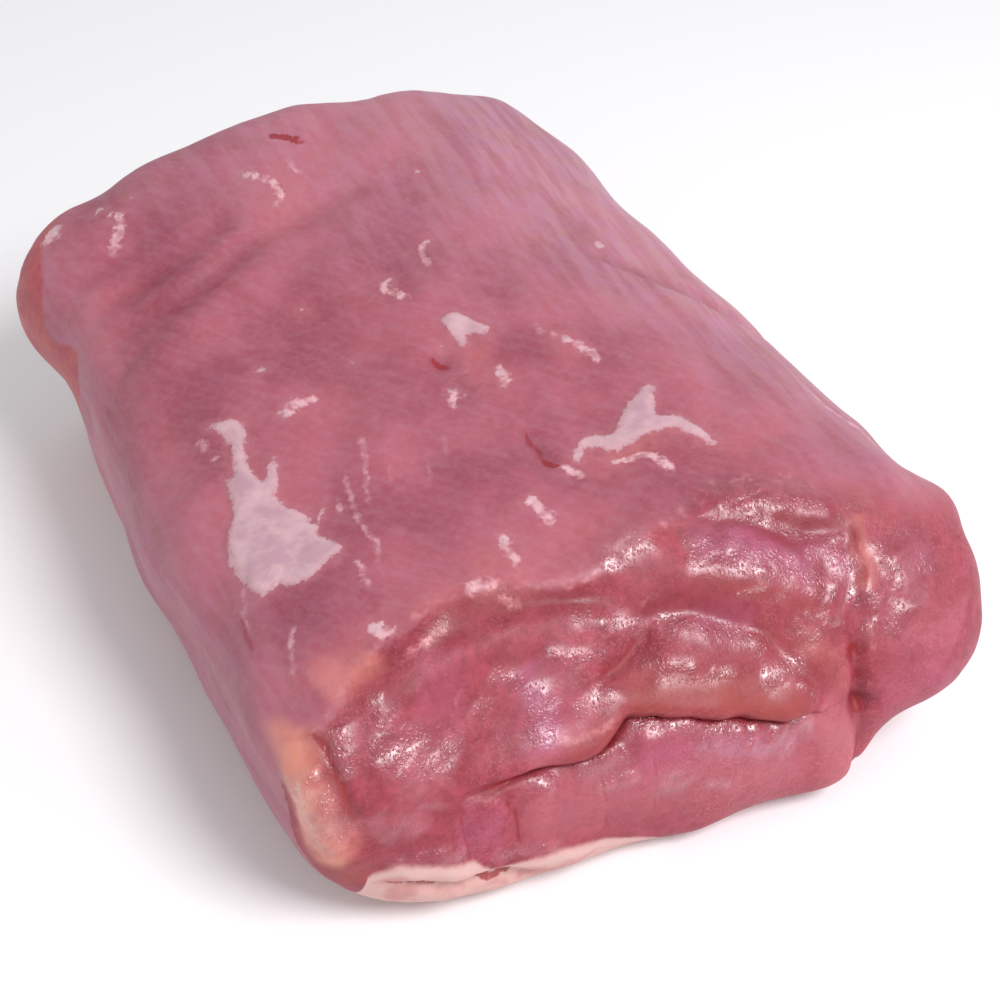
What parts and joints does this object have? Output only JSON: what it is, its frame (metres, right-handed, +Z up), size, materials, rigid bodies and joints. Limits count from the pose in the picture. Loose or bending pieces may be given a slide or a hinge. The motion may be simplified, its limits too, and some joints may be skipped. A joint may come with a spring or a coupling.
{
  "type": "raw pork loin",
  "caption": "Boneless raw pork loin roast: a long block of lean meat with a folded, deeply creased cut end, silver skin, and fat along its underside.",
  "frame": {"origin": "centre of the bounding box at the base, on the surface the meat lies on", "axes": "+Y along the grain, from the folded cut end to the plain cut end; +X to the right, seen from the folded end; +Z up, from the fat side to the top"},
  "size_m": [0.1506, 0.1934, 0.0704],
  "materials": {
    "raw_pork": "moist raw meat: rosy lean under a thin satin silver skin, wet on the cut ends, with off-white fat patches and a cream fat layer underneath"
  },
  "bodies": {
    "root": {"pork_loin": "raw_pork"}
  },
  "joints": []
}
